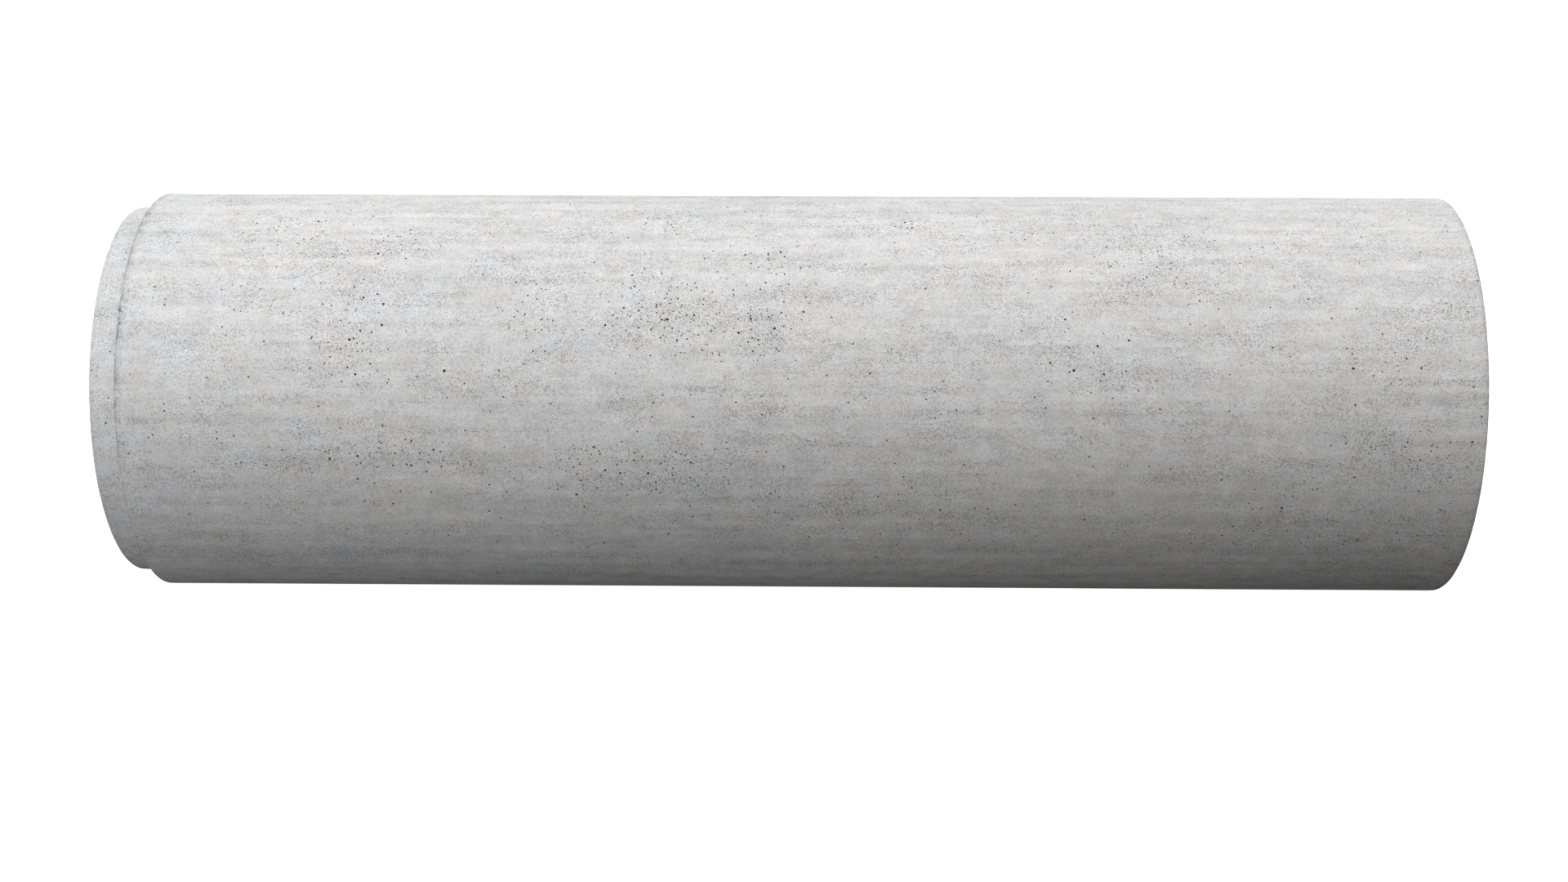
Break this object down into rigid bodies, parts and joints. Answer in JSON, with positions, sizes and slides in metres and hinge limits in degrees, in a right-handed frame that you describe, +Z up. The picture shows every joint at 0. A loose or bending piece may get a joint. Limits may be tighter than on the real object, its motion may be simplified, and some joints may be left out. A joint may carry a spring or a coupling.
{
  "type": "reinforced concrete pipe",
  "caption": "Straight precast reinforced concrete drain pipe lying on its side, with a spigot tongue at one end, a matching rebated socket at the other, and a wire cage cast in its wall.",
  "frame": {"origin": "on the ground under the middle of the pipe: the bottom centre of its box", "axes": "+X along the pipe's axis from the spigot to the socket, +Y across, +Z up"},
  "size_m": [2.504, 0.7592, 0.7593],
  "materials": {
    "cast_concrete": "dry-cast, matt, light grey with small air holes",
    "drawn_steel_wire": "as drawn, light surface rust",
    "spacer_plastic": "moulded, matt"
  },
  "bodies": {
    "root": {"concrete_pipe": "cast_concrete", "longitudinal_bar_01": "drawn_steel_wire", "longitudinal_bar_02": "drawn_steel_wire", "longitudinal_bar_03": "drawn_steel_wire", "longitudinal_bar_04": "drawn_steel_wire", "longitudinal_bar_05": "drawn_steel_wire", "longitudinal_bar_06": "drawn_steel_wire", "longitudinal_bar_07": "drawn_steel_wire", "longitudinal_bar_08": "drawn_steel_wire", "hoop_01": "drawn_steel_wire", "hoop_02": "drawn_steel_wire", "hoop_03": "drawn_steel_wire", "hoop_04": "drawn_steel_wire", "hoop_05": "drawn_steel_wire", "hoop_06": "drawn_steel_wire", "hoop_07": "drawn_steel_wire", "hoop_08": "drawn_steel_wire", "hoop_09": "drawn_steel_wire", "hoop_10": "drawn_steel_wire", "hoop_11": "drawn_steel_wire", "hoop_12": "drawn_steel_wire", "hoop_13": "drawn_steel_wire", "hoop_14": "drawn_steel_wire", "hoop_15": "drawn_steel_wire", "hoop_16": "drawn_steel_wire", "hoop_17": "drawn_steel_wire", "cage_spacer_01": "spacer_plastic", "cage_spacer_02": "spacer_plastic", "cage_spacer_03": "spacer_plastic", "cage_spacer_04": "spacer_plastic", "cage_spacer_05": "spacer_plastic", "cage_spacer_06": "spacer_plastic", "cage_spacer_07": "spacer_plastic", "cage_spacer_08": "spacer_plastic", "cage_spacer_09": "spacer_plastic", "cage_spacer_10": "spacer_plastic", "cage_spacer_11": "spacer_plastic", "cage_spacer_12": "spacer_plastic"}
  },
  "joints": []
}
